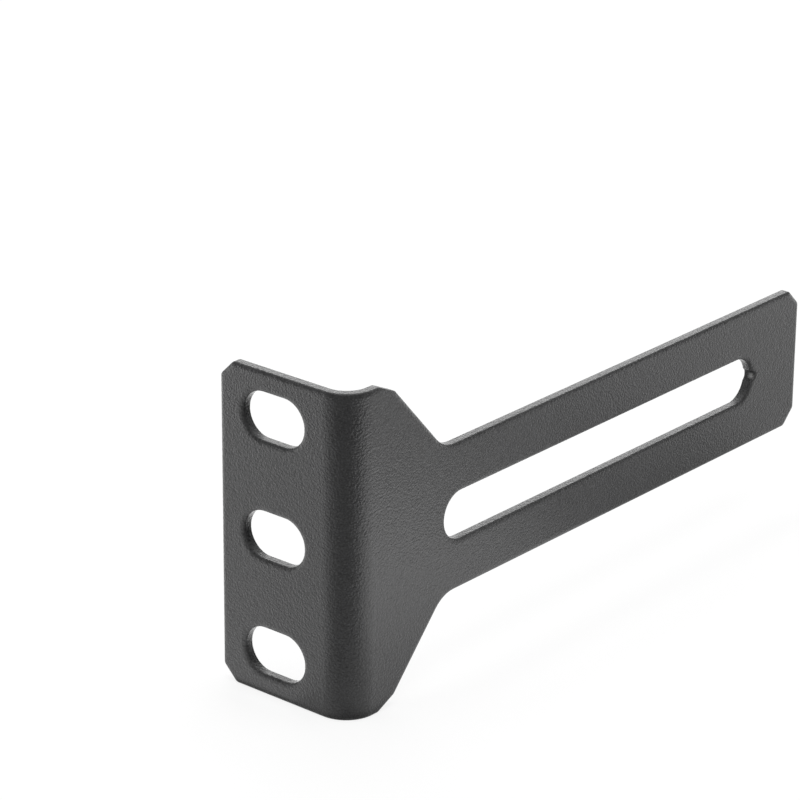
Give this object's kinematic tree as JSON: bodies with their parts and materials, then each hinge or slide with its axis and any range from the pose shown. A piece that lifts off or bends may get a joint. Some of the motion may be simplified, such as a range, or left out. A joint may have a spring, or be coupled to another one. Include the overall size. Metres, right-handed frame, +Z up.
{
  "type": "rack mount ear bracket",
  "caption": "Folded sheet-metal rack ear: a slotted front flange that bolts to a rack rail and a long slotted side arm that slides along a chassis.",
  "frame": {"origin": "centre of the middle rack slot, on the rear face of the ear, which seats on the rack rail", "axes": "+X towards the chassis, +Y to the rear of the rack along the arm, +Z up"},
  "size_m": [0.0214, 0.094, 0.0436],
  "materials": {
    "powder_coat": "fine-textured black powder coat, satin"
  },
  "bodies": {
    "root": {"ear_bracket": "powder_coat"}
  },
  "joints": []
}
